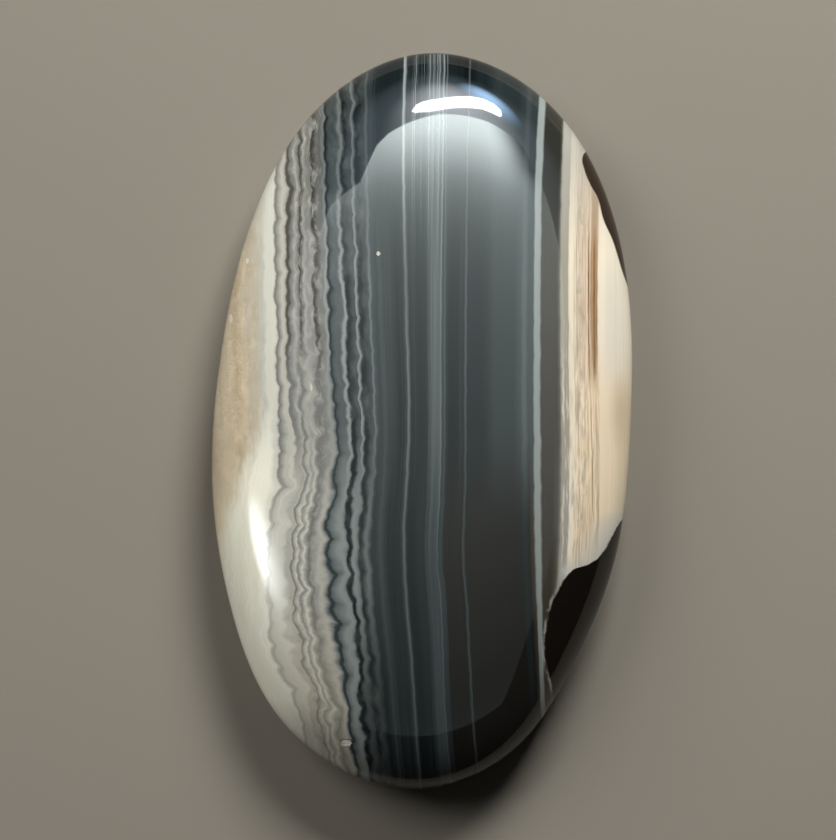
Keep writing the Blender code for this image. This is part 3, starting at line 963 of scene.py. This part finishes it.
STRIP_CORNERS = (
    (-0.15, 1.02), (-0.12, 0.985), (0.0, 0.975), (0.1, 1.0), (0.3, 1.08), (0.5, 1.165), (0.67, 1.165),
    (0.72, 1.22), (0.77, 1.36), (0.74, 1.45), (0.62, 1.48), (0.47, 1.42), (0.3, 1.31), (0.1, 1.2),
    (-0.06, 1.15), (-0.12, 1.11),
)
STRIP_GLOW = 40.0
STRIP_COLOUR = "#ffffff"

# Each soft patch's middle, half size, brightness, colour and how far above the panel it lies.
PATCHES = {
    "side_light": ((-1.62, -0.39), (0.74, 0.22), 16.0, "#ffffff", 0.0),
    "side_glow": ((-1.5, -0.45), (1.1, 0.5), 1.9, "#f4f8f4", 0.01),
    "strip_glow": ((0.24, 1.15), (0.7, 0.86), 9.5, "#edf2f6", 0.01),
    "blue_glow": ((0.74, 1.68), (0.42, 0.62), 21.0, "#a0c8f0", 0.02),
    "dim_ceiling": ((0.2, 1.2), (1.8, 2.2), 1.8, "#c8dbe8", 0.03),
}
KEY_PLACE = (0.06, 0.195, 0.135)
KEY_SIDES = (0.1, 0.07)
KEY_WATTS = 0.9
FILL_PLACE = (-0.53, 0.42, 0.5)
FILL_SIDES = (0.5, 0.5)
FILL_WATTS = 3.9
LAMP_COLOUR = "#fffaf0"
ROOM_COLOUR = "#a8a29a"
ROOM_STRENGTH = 0.07


def glowing(name, corners, height, colour, strength, clear=False):
    """A flat light in a level sheet above the stone, facing down. Other light passes through a clear one."""
    mesh = bpy.data.meshes.new(name)
    mesh.from_pydata([(x, y, height) for x, y in corners], [], [tuple(reversed(range(len(corners))))])
    glow = bpy.data.materials.new(name)
    glow.use_nodes = True
    tree = glow.node_tree
    tree.nodes.clear()
    light = add(tree, "ShaderNodeEmission", {"Color": linear(colour), "Strength": strength(tree)})
    if clear:
        light = add(tree, "ShaderNodeAddShader", {0: light, 1: add(tree, "ShaderNodeBsdfTransparent")})
    add(tree, "ShaderNodeOutputMaterial", {"Surface": light})
    mesh.materials.append(glow)
    sheet = bpy.data.objects.new(name, mesh)
    bpy.context.scene.collection.objects.link(sheet)
    sheet.visible_diffuse = False


def panel_strength(tree):
    """The panel's glow along its length, dimmer on its left and at its far right corner."""
    place = add(tree, "ShaderNodeTexCoord").outputs["Object"]
    side, along, _ = add(tree, "ShaderNodeSeparateXYZ", {0: place}).outputs
    low, high = PANEL_GLOW[0][0], PANEL_GLOW[-1][0]
    brightest = PANEL_GLOW[-1][1]
    share = add(tree, "ShaderNodeMapRange", {"Value": along, "From Min": low, "From Max": high})
    drawn = [((y - low) / (high - low), strength / brightest) for y, strength in PANEL_GLOW]
    curve = add(tree, "ShaderNodeFloatCurve", {"Value": share}, points=drawn)
    left = add(tree, "ShaderNodeMapRange", {
        "Value": side, "From Min": PANEL_LEFT_FADE[0], "From Max": PANEL_LEFT_FADE[1],
        "To Min": PANEL_LEFT_SHARE * brightest, "To Max": brightest}, interpolation_type="SMOOTHSTEP")
    corner = add(tree, "ShaderNodeMapRange", {
        "Value": side, "From Min": PANEL_RIGHT_FADE[0], "From Max": PANEL_RIGHT_FADE[1]},
        interpolation_type="SMOOTHSTEP")
    far = add(tree, "ShaderNodeMapRange", {
        "Value": along, "From Min": PANEL_CORNER_FROM[0], "From Max": PANEL_CORNER_FROM[1]})
    loss = add(tree, "ShaderNodeMath", {0: corner, 1: far}, operation="MULTIPLY")
    kept = add(tree, "ShaderNodeMapRange", {"Value": loss, "To Min": 1.0, "To Max": 1.0 - PANEL_RIGHT_LOSS})
    strength = add(tree, "ShaderNodeMath", {0: curve, 1: left}, operation="MULTIPLY")
    return add(tree, "ShaderNodeMath", {0: strength, 1: kept}, operation="MULTIPLY")


def patch(name, middle, half, brightest, colour, above):
    """A sheet that is brightest in its middle and fades to nothing at its edge."""

    def strength(tree):
        place = add(tree, "ShaderNodeTexCoord").outputs["Object"]
        side, along, _ = add(tree, "ShaderNodeSeparateXYZ", {0: place}).outputs
        reach = rounded(tree, side, along, middle, half)
        fade = add(tree, "ShaderNodeMapRange", {
            "Value": reach, "From Min": 1.0, "From Max": 0.0}, interpolation_type="SMOOTHSTEP")
        return add(tree, "ShaderNodeMath", {0: fade, 1: brightest}, operation="MULTIPLY")

    ways = ((1, -1), (1, 1), (-1, 1), (-1, -1))
    corners = [(middle[0] + x * half[0], middle[1] + y * half[1]) for x, y in ways]
    glowing(name, corners, SHEET_HEIGHT + above, colour, strength, clear=True)


def lamp(name, place, sides, watts):
    """A soft lamp that points at the stone. The sheets stand for it in the polish."""
    light = bpy.data.lights.new(name, "AREA")
    light.shape = "RECTANGLE"
    light.size, light.size_y = sides
    light.energy = watts
    light.color = linear(LAMP_COLOUR)[:3]
    holder = bpy.data.objects.new(name, light)
    holder.location = place
    holder.rotation_euler = Vector(place).to_track_quat("Z", "Y").to_euler()
    holder.visible_glossy = False
    holder.visible_camera = False
    bpy.context.scene.collection.objects.link(holder)


def surroundings():
    """The dim room around, the same from every side."""
    world = bpy.data.worlds.new("dim_room")
    bpy.context.scene.world = world
    world.use_nodes = True
    world.node_tree.nodes["Background"].inputs["Color"].default_value = linear(ROOM_COLOUR)
    world.node_tree.nodes["Background"].inputs["Strength"].default_value = ROOM_STRENGTH


glowing("soft_panel", PANEL_CORNERS, SHEET_HEIGHT, PANEL_COLOUR, panel_strength)
glowing("strip_light", STRIP_CORNERS, SHEET_HEIGHT, STRIP_COLOUR, lambda tree: STRIP_GLOW)
for name, (middle, half, brightest, colour, above) in PATCHES.items():
    patch(name, middle, half, brightest, colour, above)
lamp("key_light", KEY_PLACE, KEY_SIDES, KEY_WATTS)
lamp("fill_light", FILL_PLACE, FILL_SIDES, FILL_WATTS)
surroundings()

# The camera.
# It looks straight down from a quarter of a metre above the stone's widest line, framed as the photograph
# is. Places in the frame are in pixels, and PIXEL is what one of them spans at that line.

PIXEL = 0.05707 * MM
FRAME_HIGH = 840
FRAME_MIDDLE = (418, 420)
STONE_MIDDLE = (422, 421)
CAMERA_DISTANCE = 0.25
SENSOR = 36.0
NEAREST_SEEN = 0.01


def camera():
    """The camera, upright in the frame with the stone's length."""
    lens = bpy.data.cameras.new("camera")
    lens.sensor_width = SENSOR
    half_view = FRAME_HIGH * PIXEL / 2
    lens.lens = SENSOR / 2 * CAMERA_DISTANCE / half_view
    lens.clip_start = NEAREST_SEEN
    eye = bpy.data.objects.new("camera", lens)
    right = (FRAME_MIDDLE[0] - STONE_MIDDLE[0]) * PIXEL
    up = (STONE_MIDDLE[1] - FRAME_MIDDLE[1]) * PIXEL
    eye.location = (right, up, EDGE_HEIGHT + CAMERA_DISTANCE)
    bpy.context.scene.collection.objects.link(eye)
    bpy.context.scene.camera = eye


camera()
bpy.context.scene.view_settings.view_transform = "Standard"
